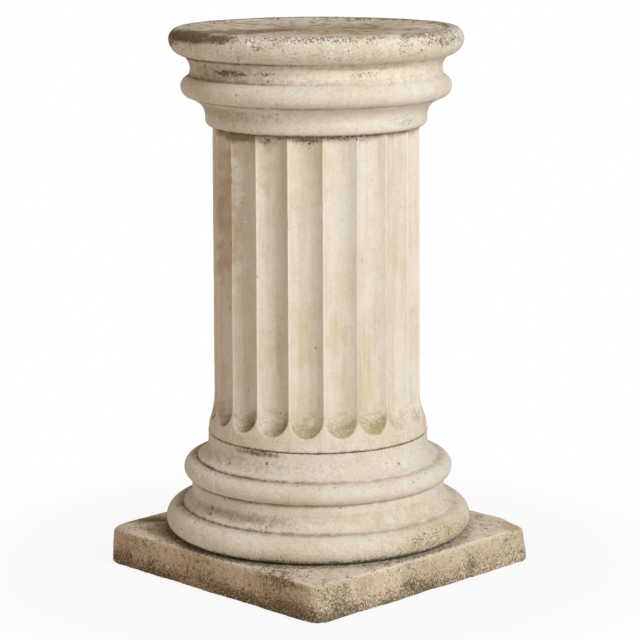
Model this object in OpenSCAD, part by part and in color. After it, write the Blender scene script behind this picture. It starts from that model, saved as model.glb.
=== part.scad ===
// Garden pedestal shaped as a short fluted column, in three cast pieces:
// a moulded square base, a fluted shaft and a round moulded capital.
// The origin is the centre of the plinth's underside, with +Z up and the plinth's sides along X and Y.

/* [Plinth] */
// Side of the square plinth
plinth_side = 400; // [380:1:520]
// Thickness of the plinth
plinth_h = 49; // [30:1:90]
// Radius of the plinth's worn upright corners
plinth_corner_r = 20; // [5:1:30]

/* [Base mouldings] */
// How far the lower torus stays inside the plinth's side
torus_inset = 0.5; // [0:0.5:10]
// Height of the lower torus
lower_torus_h = 36; // [24:1:44]
// Height of the fillet that lies on the lower torus
scotia_fillet_h = 2.5; // [1:0.5:6]
// Diameter of the scotia's fillet
scotia_fillet_d = 354; // [346:1:366]
// Height of the scotia's hollow
scotia_h = 15.5; // [12:0.5:24]
// Diameter of the scotia at its narrowest line
scotia_d = 330; // [318:1:340]
// Height of the plain band between the scotia and the upper torus
scotia_band_h = 16; // [4:0.5:20]
// Diameter of the upper torus
upper_torus_d = 351; // [342:1:356]
// Height of the upper torus
upper_torus_h = 27; // [20:1:36]
// Diameter of the fillet that lies on the upper torus
neck_fillet_d = 315; // [308:1:322]
// Height of the fillet that lies on the upper torus
neck_fillet_h = 3; // [1:0.5:6]
// Height of the base's hollow neck
neck_cove_h = 20; // [14:0.5:30]
// Height of the plain band at the top of the base
neck_band_h = 12; // [6:0.5:24]

/* [Shaft] */
// Height of the shaft
shaft_h = 397; // [280:1:520]
// Diameter of the shaft's foot, where it stands on the base
foot_d = 286; // [280:1:296]
// Diameter of the foot's plain band at its upper edge
foot_band_d = 282; // [276:1:284]
// Height of the foot's plain band
foot_band_h = 14; // [12:0.5:30]
// Height over which the shaft flares out to its foot
foot_flare_h = 28; // [14:0.5:34]
// Diameter over the arrises where the flare begins
shaft_bottom_d = 270.4; // [262:0.1:274]
// Diameter over the arrises at the top of the shaft
shaft_top_d = 267; // [250:0.5:270]

/* [Flutes] */
// Number of flutes
flute_count = 19; // [16:1:24]
// Radius of a flute's hollow
flute_r = 30.5; // [27:0.5:40]
// Turn of the fluted shaft on its base, in degrees
flute_turn = 5.7; // [-9:0.1:9]
// How steeply each flute runs out of the stone above the foot's plain band, in degrees
runout_tilt = 33; // [20:1:45]

/* [Capital] */
// How far the capital's lower edge stands out from the shaft's top
capital_overhang = 8.5; // [2:0.5:16]
// Radius of the capital's lower edge
capital_edge_r = 8; // [3:0.5:12]
// Height of the capital's neck up to the start of its hollow
capital_neck_h = 14; // [12:0.5:30]
// Height of the neck's hollow
capital_cove_h = 19.5; // [15:0.5:28]
// Diameter of the fillet under the capital's torus
capital_fillet_d = 311; // [302:1:318]
// Height of the fillet under the capital's torus
capital_fillet_h = 3; // [1:0.5:6]
// Diameter of the capital's torus
capital_torus_d = 347; // [338:1:356]
// Height of the capital's torus
capital_torus_h = 29; // [24:1:40]
// Diameter of the cavetto at its narrowest line
cavetto_d = 322; // [316:1:328]
// Height of the cavetto's lower part
cavetto_lower_h = 8.5; // [5:0.5:12]
// Height of the cavetto's upper part
cavetto_upper_h = 16; // [8:0.5:18]
// Radius of the cavetto's hollow
cavetto_r = 20; // [16:0.5:26]
// Diameter of the rim
rim_d = 376; // [370:1:400]
// Radius of the rim's underside
rim_under_r = 21.5; // [18:0.5:28]
// Radius of the rim's upper edge
rim_edge_r = 14.5; // [6:0.5:18]
// Diameter of the shallow recess in the top
recess_d = 330; // [200:1:340]
// Depth of the shallow recess in the top
recess_depth = 3; // [1:0.5:6]

/* [Hidden] */
$fn = 96;
base_colour = [0.76, 0.70, 0.58];
shaft_colour = [0.84, 0.79, 0.69];
capital_colour = [0.80, 0.75, 0.65];
flute_pitch = 360 / flute_count;

// Levels of the base, from the ground up
lower_torus_z = plinth_h + lower_torus_h / 2;
scotia_fillet_z = plinth_h + lower_torus_h;
scotia_z = scotia_fillet_z + scotia_fillet_h;
scotia_band_z = scotia_z + scotia_h;
upper_torus_z = scotia_band_z + scotia_band_h + upper_torus_h / 2;
neck_fillet_z = scotia_band_z + scotia_band_h + upper_torus_h;
neck_cove_z = neck_fillet_z + neck_fillet_h;
neck_band_z = neck_cove_z + neck_cove_h;
base_top_z = neck_band_z + neck_band_h;

// Levels of the shaft
flare_z = base_top_z + foot_band_h;
fluted_z = flare_z + foot_flare_h;
shaft_top_z = base_top_z + shaft_h;

// Levels of the capital
capital_cove_z = shaft_top_z + capital_neck_h;
capital_fillet_z = capital_cove_z + capital_cove_h;
capital_torus_z = capital_fillet_z + capital_fillet_h + capital_torus_h / 2;
cavetto_z = capital_fillet_z + capital_fillet_h + capital_torus_h;
cavetto_waist_z = cavetto_z + cavetto_lower_h;
rim_z = cavetto_waist_z + cavetto_upper_h;
rim_widest_z = rim_z + rim_under_r;
top_z = rim_widest_z + rim_edge_r;

// Radii that follow from the sizes above
lower_torus_r = plinth_side / 2 - torus_inset;
capital_neck_r = shaft_top_d / 2 + capital_overhang;

// Radius of the arc that starts upright and moves out by `out` over a height of `rise`
function cove_radius(out, rise) = (rise * rise + out * out) / (2 * out);

// How far the middle of a flute's hollow lies from the shaft's axis at a level where
// neighbouring flutes meet in a sharp arris on the radius arris_r
function flute_centre(arris_r) =
    arris_r * cos(flute_pitch / 2) + sqrt(pow(flute_r, 2) - pow(arris_r * sin(flute_pitch / 2), 2));

// Each flute's knee, where its hollow turns into its run-out
knee_r = flute_centre(shaft_bottom_d / 2);
flute_lean = atan2(knee_r - flute_centre(shaft_top_d / 2), shaft_top_z - fluted_z);
knee_z = flare_z + (foot_band_d / 2 + flute_r / cos(runout_tilt) - knee_r) / tan(runout_tilt);
cutter_reach = shaft_h + flute_r;

// A disc's half section, from the axis out to the radius r, between the levels z0 and z1
module band(r, z0, z1) {
    translate([0, z0]) square([r, z1 - z0]);
}

// A torus's half section with its core: a half-round edge that reaches the radius r
module half_round(r, z0, z1) {
    edge_r = (z1 - z0) / 2;
    band(r - edge_r, z0, z1);
    translate([r - edge_r, z0 + edge_r]) circle(edge_r);
}

// A hollow that is upright on the radius r_in at z_upright and reaches r_out at z_tip
module cove(r_in, r_out, z_upright, z_tip) {
    hollow_r = cove_radius(r_out - r_in, abs(z_tip - z_upright));
    difference() {
        band(r_out, min(z_upright, z_tip), max(z_upright, z_tip));
        translate([r_in + hollow_r, z_upright]) circle(hollow_r);
    }
}

// The square plinth with its rounded upright corners
module plinth() {
    flat = plinth_side - 2 * plinth_corner_r;
    linear_extrude(plinth_h) {
        square([plinth_side, flat], center = true);
        square([flat, plinth_side], center = true);
        for (x = [-flat / 2, flat / 2], y = [-flat / 2, flat / 2]) {
            translate([x, y]) circle(plinth_corner_r);
        }
    }
}

// The base's mouldings, from the lower torus to the joint under the shaft
module base_profile() {
    half_round(lower_torus_r, plinth_h, scotia_fillet_z);
    band(scotia_fillet_d / 2, scotia_fillet_z, scotia_z);
    cove(scotia_d / 2, scotia_fillet_d / 2, scotia_band_z, scotia_z);
    band(scotia_d / 2, scotia_band_z, upper_torus_z);
    half_round(upper_torus_d / 2, upper_torus_z - upper_torus_h / 2, neck_fillet_z);
    band(neck_fillet_d / 2, neck_fillet_z, neck_cove_z);
    cove(foot_d / 2, neck_fillet_d / 2, neck_band_z, neck_cove_z);
    band(foot_d / 2, neck_band_z, base_top_z);
}

module base() {
    color(base_colour) {
        plinth();
        rotate_extrude() base_profile();
    }
}

// The shaft's outline before it is fluted
module shaft_profile() {
    polygon([
        [0, base_top_z], [foot_d / 2, base_top_z], [foot_band_d / 2, flare_z], [0, flare_z],
    ]);
    cove(shaft_bottom_d / 2, foot_band_d / 2, fluted_z, flare_z);
    polygon([
        [0, fluted_z], [shaft_bottom_d / 2, fluted_z], [shaft_top_d / 2, shaft_top_z], [0, shaft_top_z],
    ]);
}

// A round bar along Z that is cut off by a plane through the origin, leaning by `mitre` degrees.
// It keeps its upper part, or its lower part if `up` is false.
module mitred_bar(bar_tilt, mitre, up) {
    intersection() {
        rotate([0, -bar_tilt, 0]) cylinder(r = flute_r, h = 2 * cutter_reach, center = true);
        rotate([0, -mitre, 0])
            translate([-cutter_reach, -cutter_reach, up ? 0 : -2 * cutter_reach])
                cube(2 * cutter_reach);
    }
}

// The stone that one flute takes away: a long hollow that leans in with the shaft's taper,
// and below its knee a run-out that leans outwards until it leaves the stone
module flute_cutter() {
    mitre = (flute_lean + runout_tilt) / 2;
    translate([knee_r, 0, knee_z]) {
        mitred_bar(flute_lean, mitre, true);
        mitred_bar(runout_tilt, mitre, false);
    }
}

module shaft() {
    color(shaft_colour) difference() {
        rotate_extrude() shaft_profile();
        for (i = [0 : flute_count - 1]) {
            rotate([0, 0, flute_turn + i * flute_pitch]) flute_cutter();
        }
    }
}

// The capital's outline, with the shallow recess in its top
module capital_profile() {
    difference() {
        union() {
            band(capital_neck_r - capital_edge_r, shaft_top_z, shaft_top_z + capital_edge_r);
            translate([capital_neck_r - capital_edge_r, shaft_top_z + capital_edge_r]) circle(capital_edge_r);
            band(capital_neck_r, shaft_top_z + capital_edge_r, capital_cove_z);
            cove(capital_neck_r, capital_fillet_d / 2, capital_cove_z, capital_fillet_z);
            band(capital_fillet_d / 2, capital_fillet_z, capital_torus_z);
            half_round(capital_torus_d / 2, capital_torus_z - capital_torus_h / 2, cavetto_z);
            cavetto_profile();
            rim_profile();
        }
        band(recess_d / 2, top_z - recess_depth, top_z + recess_depth);
    }
}

// The hollow between the capital's torus and its rim
module cavetto_profile() {
    difference() {
        band(cavetto_d / 2 + cavetto_r, cavetto_z, rim_z);
        translate([cavetto_d / 2 + cavetto_r, cavetto_waist_z]) circle(cavetto_r);
    }
}

// The rim: a quarter round under a smaller rounded edge
module rim_profile() {
    band(rim_d / 2 - rim_under_r, rim_z, rim_widest_z);
    intersection() {
        translate([rim_d / 2 - rim_under_r, rim_widest_z]) circle(rim_under_r);
        band(rim_d / 2, rim_z, rim_widest_z);
    }
    band(rim_d / 2 - rim_edge_r, rim_widest_z, top_z);
    intersection() {
        translate([rim_d / 2 - rim_edge_r, rim_widest_z]) circle(rim_edge_r);
        band(rim_d / 2, rim_widest_z, top_z);
    }
}

module capital() {
    color(capital_colour) rotate_extrude() capital_profile();
}

base();
shaft();
capital();
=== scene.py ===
"""Looks for the fluted column pedestal: worn, stained cast stone built as fine meshes around the CAD frame.

Lengths are in millimetres until a mesh is made, and the frame is the CAD's: the origin is the middle of the
plinth's underside. Directions round the column are in degrees from the plinth's front corner, which is the
corner between +X and -Y, and they grow towards +Y.
"""

import math
from collections import namedtuple

import bpy
import numpy as np
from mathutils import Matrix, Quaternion, Vector
from mathutils.kdtree import KDTree


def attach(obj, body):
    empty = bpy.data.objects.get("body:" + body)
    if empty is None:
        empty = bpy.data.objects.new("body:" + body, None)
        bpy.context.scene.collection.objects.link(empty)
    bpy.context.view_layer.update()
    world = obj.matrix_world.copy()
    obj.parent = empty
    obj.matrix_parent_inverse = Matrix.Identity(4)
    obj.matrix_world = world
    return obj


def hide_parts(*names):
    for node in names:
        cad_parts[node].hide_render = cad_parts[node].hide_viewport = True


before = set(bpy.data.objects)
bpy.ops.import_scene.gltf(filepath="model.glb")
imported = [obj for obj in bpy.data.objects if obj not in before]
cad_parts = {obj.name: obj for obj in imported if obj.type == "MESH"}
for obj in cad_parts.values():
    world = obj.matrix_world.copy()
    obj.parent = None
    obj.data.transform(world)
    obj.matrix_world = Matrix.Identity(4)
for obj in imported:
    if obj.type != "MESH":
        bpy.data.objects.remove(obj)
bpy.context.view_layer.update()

MM = 0.001
FRONT_CORNER = math.radians(-45)

# One course of the mouldings: the heights of its lower and upper edge, and its radius
Course = namedtuple("Course", "low high radius")


def course_on(low, height, radius):
    return Course(low, low + height, radius)


# The base, from the ground up. All sizes here are the CAD's, apart from the shaft's flare and arches
PLINTH_SIDE = 400.0
PLINTH_TOP = 49.0
PLINTH_CORNER = 20.0
LOWER_TORUS = course_on(PLINTH_TOP, 36.0, 199.5)
SCOTIA_FILLET = course_on(LOWER_TORUS.high, 2.5, 177.0)
SCOTIA = course_on(SCOTIA_FILLET.high, 15.5, 165.0)
BASE_BAND = course_on(SCOTIA.high, 16.0, SCOTIA.radius)
UPPER_TORUS = course_on(BASE_BAND.high, 27.0, 175.5)
NECK_FILLET = course_on(UPPER_TORUS.high, 3.0, 157.5)
NECK_COVE = course_on(NECK_FILLET.high, 20.0, 143.0)
NECK_BAND = course_on(NECK_COVE.high, 12.0, NECK_COVE.radius)

# The shaft. Its flare is 5 mm taller than the CAD's, and its flutes open in arches, not in slopes
SHAFT_BASE = NECK_BAND.high
SHAFT_TOP = SHAFT_BASE + 397.0
SHAFT_TOP_RADIUS = 133.5
FOOT_BAND = course_on(SHAFT_BASE, 14.0, 141.0)
FOOT_FLARE = course_on(FOOT_BAND.high, 33.0, 135.2)
FLUTES = 19
FLUTE_RADIUS = 30.5
FIRST_ARRIS = math.radians(3.3)
ARCH_START = FOOT_BAND.high + 2.0
ARCH_RISE = 26.0

# The capital
CAPITAL_NECK = course_on(SHAFT_TOP, 14.0, 142.0)
CAPITAL_EDGE = 8.0
CAPITAL_COVE = course_on(CAPITAL_NECK.high, 19.5, CAPITAL_NECK.radius)
CAPITAL_FILLET = course_on(CAPITAL_COVE.high, 3.0, 155.5)
CAPITAL_TORUS = course_on(CAPITAL_FILLET.high, 29.0, 173.5)
CAVETTO_LOWER = course_on(CAPITAL_TORUS.high, 8.5, 161.0)
CAVETTO_UPPER = course_on(CAVETTO_LOWER.high, 16.0, CAVETTO_LOWER.radius)
CAVETTO_ARC = 20.0
RIM_UNDER = course_on(CAVETTO_UPPER.high, 21.5, 188.0)
RIM_EDGE = course_on(RIM_UNDER.high, 14.5, RIM_UNDER.radius)
TOP = RIM_EDGE.high
RECESS_RADIUS = 165.0
RECESS_DEPTH = 3.0

# The looks round the plinth's edges, and wear all edges and creases
PLINTH_FOOT_EDGE = 4.5
PLINTH_TOP_EDGE = 5.0
PLINTH_WEAR = 0.9
MOULDING_WEAR = 0.65
# An arris as the wear and the chips find it: its distance from the axis, and its half width
ARRIS_RADIUS = 135.0
ARRIS_WIDTH = 2.2
# The joint between the base and the shaft: each stops a little short of it, and the base's edge is bevelled
JOINT_GAP = 0.2
JOINT_BEVEL = 0.8
# How far the base's mouldings reach down into the plinth
SUNK = 2.0
# Dirt partly fills the crease under the upper torus, so its outline starts at an angle, at a height
CREASE_ANGLE = -60
CREASE_HEIGHT = UPPER_TORUS.low + 0.6
# Radii inside which one flat fan closes an end of a mesh
PLINTH_FAN = 172.0
MOULDINGS_FAN = 174.0
NECK_FAN = 132.0
CAPITAL_FAN = 122.0
RECESS_FAN = 40.0

# How finely the meshes are divided
SECTION_STEP = 0.5
PLINTH_EDGE_ROWS = 46
PLINTH_TOP_ROWS = 35
PLINTH_COLUMNS = 1080
TURNED_ROWS = 176
TURNED_COLUMNS = 560
FOOT_ROWS = 44
FLUTE_ROWS = 76
HEAD_ROWS = 8
COLUMNS_PER_FLUTE = 38


# ------------ noise and wear


def lattice(cells, seed):
    """A repeatable random number from -1 to 1 for each whole-numbered cell."""
    c = cells.astype(np.int64)
    h = (c[:, 0] * 374761393 + c[:, 1] * 668265263 + c[:, 2] * 1440662683 + seed * 1274126177) & 0xFFFFFFFF
    h = ((h ^ (h >> 13)) * 1103515245) & 0xFFFFFFFF
    h = ((h ^ (h >> 15)) * 2246822519) & 0xFFFFFFFF
    return (h ^ (h >> 16)) / 2147483647.5 - 1.0


def noise(points, cell, seed, octaves=1):
    """Smooth noise from about -1 to 1, with features about one cell wide. Each octave halves the cell."""
    total = np.zeros(len(points))
    weight = 1.0
    weights = 0.0
    for octave in range(octaves):
        q = points / cell
        base = np.floor(q)
        f = q - base
        f = f * f * (3 - 2 * f)
        value = np.zeros(len(points))
        for corner in np.ndindex(2, 2, 2):
            share = np.prod(np.where(corner, f, 1 - f), axis=1)
            value += share * lattice(base + corner, seed + octave)
        total += weight * value
        weights += weight
        weight *= 0.55
        cell *= 0.5
    return total / weights


def smoothstep(start, end, x):
    """A smooth change from 0 at `start` to 1 at `end`, which may lie on either side of it."""
    t = np.clip((x - start) / (end - start), 0, 1)
    return t * t * (3 - 2 * t)


def bearing(points):
    """Degrees round the column from the plinth's front corner, from -180 to 180."""
    angle = np.degrees(np.arctan2(points[:, 1], points[:, 0]) - FRONT_CORNER)
    return (angle + 180) % 360 - 180


def on_column(at, radius, height):
    """The point at a bearing, a distance from the axis and a height."""
    angle = FRONT_CORNER + math.radians(at)
    return (radius * math.cos(angle), radius * math.sin(angle), height)


def hollows(points, spots, softness=1):
    """How deep small round hollows at (centre, radius, depth) press in, with a mask of where they are.
    A softness above 1 rounds off their edges."""
    tree = KDTree(len(points))
    for i, p in enumerate(points):
        tree.insert(p, i)
    tree.balance()
    depth = np.zeros(len(points))
    mask = np.zeros(len(points))
    for centre, radius, deep in spots:
        for _, i, far in tree.find_range(centre, radius):
            bowl = (1 - (far / radius) ** 2) ** softness
            depth[i] = max(depth[i], deep * bowl)
            mask[i] = max(mask[i], bowl)
    return depth, mask


def scattered_pits(points, wanted, count, sizes, seed):
    """Hollows at random vertices, likelier where `wanted` is high. Most are near the smaller size."""
    rng = np.random.default_rng(seed)
    chosen = rng.choice(len(points), size=count, p=wanted / wanted.sum())
    small, large = sizes
    radii = small + (large - small) * rng.random(count) ** 3
    deeps = radii * rng.uniform(0.35, 0.8, count)
    return [(points[i], r, d) for i, r, d in zip(chosen, radii, deeps)]


def grid_normals(grid):
    """Outward normals of a grid of rows that close round the column, rows running from low to high."""
    around = np.roll(grid, -1, axis=1) - np.roll(grid, 1, axis=1)
    along = np.gradient(grid, axis=0)
    n = np.cross(around, along)
    return n / np.maximum(np.linalg.norm(n, axis=2), 1e-9)[..., None]


def weathered(grid, hollow, pits, chips, seed, roughness, limit=None):
    """Moves a grid's points along its normals, no further out than `limit`, by casting unevenness, wear on
    its edges, dirty pits and clean chips. Returns the grid and its masks: crevice, edge, pit and chip."""
    points = grid.reshape(-1, 3)
    normals = grid_normals(grid).reshape(-1, 3)
    waves = 0.35 * noise(points, 70.0, seed) + 0.2 * noise(points, 22.0, seed + 10)
    grain = 0.16 * noise(points, 7.0, seed + 20, 2) + 0.1 * noise(points, 2.6, seed + 30)
    edge = np.clip(-hollow / 1.2, 0, 1)
    bites = smoothstep(0.25, 0.9, noise(points, 9.0, seed + 40, 3))
    pit_depth, pit = hollows(points, pits)
    chip_depth, chip = hollows(points, chips, 2)
    move = roughness * (waves + grain - 0.25) - edge * (0.35 + 1.9 * bites)
    move -= pit_depth + chip_depth
    if limit is not None:
        move = np.minimum(move, limit)
    masks = {
        "crevice": np.clip(hollow / 1.4, 0, 1),
        "edge": edge,
        "pit": pit,
        "chip": chip,
    }
    return (points + normals * move[:, None]).reshape(grid.shape), masks


# ------------ half sections


def arc(r, z, radius, start, end):
    """Points of an arc in the half section, from angle start to angle end in degrees."""
    steps = max(4, int(abs(end - start) / 180 * math.pi * radius / SECTION_STEP))
    angles = np.radians(np.linspace(start, end, steps))
    return [(r + radius * math.cos(a), z + radius * math.sin(a)) for a in angles]


def cove_arc(r_in, r_out, z_upright, z_tip):
    """The hollow that is upright on r_in at z_upright and reaches r_out at z_tip, from z_upright on."""
    rise = z_tip - z_upright
    out = r_out - r_in
    radius = (rise * rise + out * out) / (2 * out)
    sweep = math.degrees(math.asin(min(1.0, abs(rise) / radius)))
    return arc(r_in + radius, z_upright, radius, 180, 180 - math.copysign(sweep, rise))


def torus_arc(torus, start=-90, end=90):
    """The half round edge of a torus, or the part of it between two angles."""
    radius = (torus.high - torus.low) / 2
    return arc(torus.radius - radius, torus.low + radius, radius, start, end)


def worn(profile, wear):
    """The half section resampled evenly, with its edges and creases rounded by about `wear` millimetres.
    The third column is how hollow it is: above 0 in a crease, below 0 on an edge."""
    p = np.array(profile)
    along = np.r_[0, np.cumsum(np.hypot(*np.diff(p, axis=0).T))]
    s = np.linspace(0, along[-1], int(along[-1] / SECTION_STEP))
    line = np.c_[np.interp(s, along, p[:, 0]), np.interp(s, along, p[:, 1])]

    def blurred(width):
        reach = int(3 * width / SECTION_STEP)
        kernel = np.exp(-0.5 * (np.arange(-reach, reach + 1) * SECTION_STEP / width) ** 2)
        kernel /= kernel.sum()
        head = 2 * line[0] - line[1 : reach + 1][::-1]
        tail = 2 * line[-1] - line[-reach - 1 : -1][::-1]
        padded = np.r_[head, line, tail]
        return np.c_[np.convolve(padded[:, 0], kernel, "valid"), np.convolve(padded[:, 1], kernel, "valid")]

    soft = blurred(wear)
    softer = blurred(5.0)
    tangent = np.gradient(soft, axis=0)
    normal = np.c_[tangent[:, 1], -tangent[:, 0]]
    normal /= np.linalg.norm(normal, axis=1)[:, None]
    hollow = ((softer - soft) * normal).sum(1)
    return np.c_[soft, hollow]


def rows_of(profile, count):
    """`count` rows of a worn half section, closer together where it curves."""
    step = np.hypot(*np.diff(profile[:, :2], axis=0).T)
    curve = np.abs(np.gradient(profile[:, 2])) + 0.6 * np.abs(profile[:, 2])
    weight = step * (1 + 1.6 * np.minimum(curve[1:], 0.8))
    s = np.r_[0, np.cumsum(weight)]
    at = np.linspace(0, s[-1], count)
    return np.c_[[np.interp(at, s, profile[:, k]) for k in range(3)]].T


# ------------ meshes


def polar_grid(r, z, angles):
    """A grid of points with one column an angle. Radii and heights are given one a row or one a point."""
    c, s = np.cos(angles)[None, :], np.sin(angles)[None, :]
    return np.stack(np.broadcast_arrays(r * c, r * s, z), axis=-1)


def closed_mesh(name, grid, masks):
    """A closed mesh from a grid of closed rows, with a fan at each end and an attribute for each mask."""
    rows, cols = grid.shape[:2]
    verts = np.concatenate([grid.reshape(-1, 3), grid[:1].mean(1), grid[-1:].mean(1)])
    i = np.arange(rows - 1)[:, None] * cols
    j = np.arange(cols)
    k = (j + 1) % cols
    quads = np.stack([i + j, i + k, i + cols + k, i + cols + j], axis=-1).reshape(-1, 4)
    bottom, top = rows * cols, rows * cols + 1
    last = (rows - 1) * cols
    fans = np.concatenate([
        np.stack([k, j, np.full(cols, bottom)], axis=-1),
        np.stack([last + j, last + k, np.full(cols, top)], axis=-1),
    ])
    mesh = bpy.data.meshes.new(name)
    mesh.vertices.add(len(verts))
    mesh.vertices.foreach_set("co", (verts * MM).astype(np.float32).ravel())
    corners = np.concatenate([quads.ravel(), fans.ravel()])
    starts = np.concatenate([np.arange(len(quads)) * 4, quads.size + np.arange(len(fans)) * 3])
    mesh.loops.add(len(corners))
    mesh.loops.foreach_set("vertex_index", corners.astype(np.int32))
    mesh.polygons.add(len(starts))
    mesh.polygons.foreach_set("loop_start", starts.astype(np.int32))
    mesh.update(calc_edges=True)
    mesh.validate()
    mesh.shade_smooth()
    for mask, values in masks.items():
        layer = mesh.attributes.new(mask, "FLOAT", "POINT")
        ends = [values[:cols].mean(), values[-cols:].mean()]
        layer.data.foreach_set("value", np.concatenate([values, ends]).astype(np.float32))
    piece = bpy.data.objects.new(name, mesh)
    bpy.context.scene.collection.objects.link(piece)
    return piece


# ------------ the plinth


def corner_point(at, inset, z):
    """A point near the plinth's side: at a bearing, some way in from the side, at a height."""
    angle = FRONT_CORNER + math.radians(at)
    c, s = math.cos(angle), math.sin(angle)
    reach = (PLINTH_SIDE / 2 - inset) / max(abs(c), abs(s))
    return (reach * c, reach * s, z)


PLINTH_CHIPS = [
    (corner_point(0.0, -2.0, PLINTH_TOP + 1), 16.0, 3.5),
    (corner_point(6.0, 0.0, 34.0), 6.0, 3.0),
]

# Corners worn round: bearing, height, radius and depth of the wear, and how far it faces up
WORN_CORNERS = [
    (90.0, 52.0, 50.0, 6.5, 1.0),
    (-90.0, 25.0, 70.0, 3.5, 0.0),
    (-90.0, 52.0, 30.0, 2.5, 0.8),
    (180.0, 52.0, 40.0, 5.0, 0.8),
]


def wear_corners(grid):
    """Presses the plinth's worn corners in, each in one direction, so that the surface never folds."""
    points = grid.reshape(-1, 3)
    for at, height, radius, deep, lift in WORN_CORNERS:
        corner = np.array(corner_point(at, PLINTH_CORNER * (1 - math.sqrt(0.5)), height))
        outward = np.array([*corner[:2] / np.linalg.norm(corner[:2]), lift])
        outward /= np.linalg.norm(outward)
        far = np.linalg.norm(points - corner, axis=1) / radius
        points = points - outward * (deep * np.clip(1 - far**2, 0, 1) ** 2)[:, None]
    return points.reshape(grid.shape)


def plinth_outline():
    """Points and outward normals, evenly spaced round the plinth's square outline and its round corners."""
    flat = PLINTH_SIDE / 2 - PLINTH_CORNER
    quarter = 2 * flat + math.pi / 2 * PLINTH_CORNER
    points = np.zeros((PLINTH_COLUMNS, 2))
    normals = np.zeros((PLINTH_COLUMNS, 2))
    for i in range(PLINTH_COLUMNS):
        side, s = divmod(i / PLINTH_COLUMNS * 4 * quarter, quarter)
        if s < 2 * flat:
            p = (PLINTH_SIDE / 2, s - flat)
            n = (1.0, 0.0)
        else:
            a = (s - 2 * flat) / PLINTH_CORNER
            n = (math.cos(a), math.sin(a))
            p = (flat + PLINTH_CORNER * n[0], flat + PLINTH_CORNER * n[1])
        turn = side * math.pi / 2
        c, w = math.cos(turn), math.sin(turn)
        points[i] = (c * p[0] - w * p[1], w * p[0] + c * p[1])
        normals[i] = (c * n[0] - w * n[1], w * n[0] + c * n[1])
    return points, normals


def plinth_profile():
    """The edge of the plinth as (distance past its side, height), from its underside to its top."""
    steps = np.linspace(0, math.pi / 2, 9)
    foot, top = PLINTH_FOOT_EDGE, PLINTH_TOP_EDGE
    line = [(-25.0, 0.0), (-4.0, 0.0)]
    line += [(foot * math.sin(a) - foot, foot - foot * math.cos(a)) for a in steps]
    line += [(0.0, PLINTH_TOP - top)]
    line += [(top * math.cos(a) - top, PLINTH_TOP - top + top * math.sin(a)) for a in steps]
    line += [(-12.0, PLINTH_TOP)]
    return line


def flat_rows(edge, shares, bed, height):
    """Level rows that lie `shares` of the way from a closed edge to a closed line inside it."""
    rows = np.full((len(shares), len(edge), 3), height)
    rows[..., :2] = edge[None] + np.array(shares)[:, None, None] * (bed - edge)[None]
    return rows


def make_plinth():
    """The worn plinth: its underside, its sides and its top. Returns its grid and masks."""
    outline, out = plinth_outline()
    rows = rows_of(worn(plinth_profile(), PLINTH_WEAR), PLINTH_EDGE_ROWS)
    side = np.zeros((len(rows), len(outline), 3))
    side[..., :2] = outline[None] + rows[:, 0][:, None, None] * out[None]
    side[..., 2] = rows[:, 1][:, None]

    rim = side[-1, :, :2]
    bed = rim / np.linalg.norm(rim, axis=1)[:, None] * PLINTH_FAN
    top = flat_rows(rim, np.linspace(0, 1, PLINTH_TOP_ROWS + 1)[1:], bed, PLINTH_TOP)
    under = flat_rows(side[0, :, :2], [0.9, 0.6, 0.3, 0.1], bed=0.0, height=0.0)
    grid = np.concatenate([under, side, top])
    hollow = np.concatenate([np.zeros(len(under)), rows[:, 2], np.zeros(len(top))])
    hollow = np.repeat(hollow, len(outline))

    points = grid.reshape(-1, 3)
    z = points[:, 2]
    on_side = smoothstep(1.0, 4.0, z) * smoothstep(PLINTH_TOP + 0.5, PLINTH_TOP - 3.0, z)
    wanted = 0.02 + on_side * (0.5 + 0.5 * noise(points, 40.0, 71)) * smoothstep(60, 5, z)
    pits = scattered_pits(points, np.clip(wanted, 0.01, None), count=700, sizes=(1.6, 3.4), seed=5)
    grid = wear_corners(grid)
    grid, masks = weathered(grid, hollow, pits, PLINTH_CHIPS, seed=300, roughness=1.5, limit=0.0)
    grid[..., 2] = np.maximum(grid[..., 2], 0.0)
    return grid, masks


# ------------ the round mouldings

BASE_CHIPS = [
    (on_column(-60.0, 175.0, 140.0), 5.0, 1.6),
]
RIM_CHIPS = [
    (on_column(-25.0, 188.0, 697.0), 7.0, 3.0),
    (on_column(-62.0, 188.0, 703.0), 9.0, 2.0),
    (on_column(48.0, 187.0, 704.0), 10.0, 2.2),
    (on_column(150.0, 187.0, 703.0), 12.0, 2.6),
]


def base_profile():
    """The half section of the base's mouldings, from inside the plinth to the shaft's bed."""
    foot = LOWER_TORUS.radius - (LOWER_TORUS.high - LOWER_TORUS.low) / 2
    line = [(MOULDINGS_FAN, LOWER_TORUS.low - SUNK), (foot, LOWER_TORUS.low - SUNK)]
    line += torus_arc(LOWER_TORUS)
    line += [(SCOTIA_FILLET.radius + 0.2, SCOTIA_FILLET.low), (SCOTIA_FILLET.radius, SCOTIA_FILLET.high)]
    line += cove_arc(SCOTIA.radius, SCOTIA_FILLET.radius, SCOTIA.high, SCOTIA.low)[::-1]
    line += [(BASE_BAND.radius, CREASE_HEIGHT)]
    line += torus_arc(UPPER_TORUS, start=CREASE_ANGLE)
    line += [(NECK_FILLET.radius, NECK_FILLET.low), (NECK_FILLET.radius, NECK_FILLET.high)]
    line += cove_arc(NECK_COVE.radius, NECK_FILLET.radius, NECK_COVE.high, NECK_COVE.low)[::-1]
    joint = NECK_BAND.high - JOINT_GAP
    line += [(NECK_BAND.radius, joint - JOINT_BEVEL), (NECK_BAND.radius - JOINT_BEVEL, joint)]
    line += [(NECK_FAN, joint)]
    return line


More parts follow.
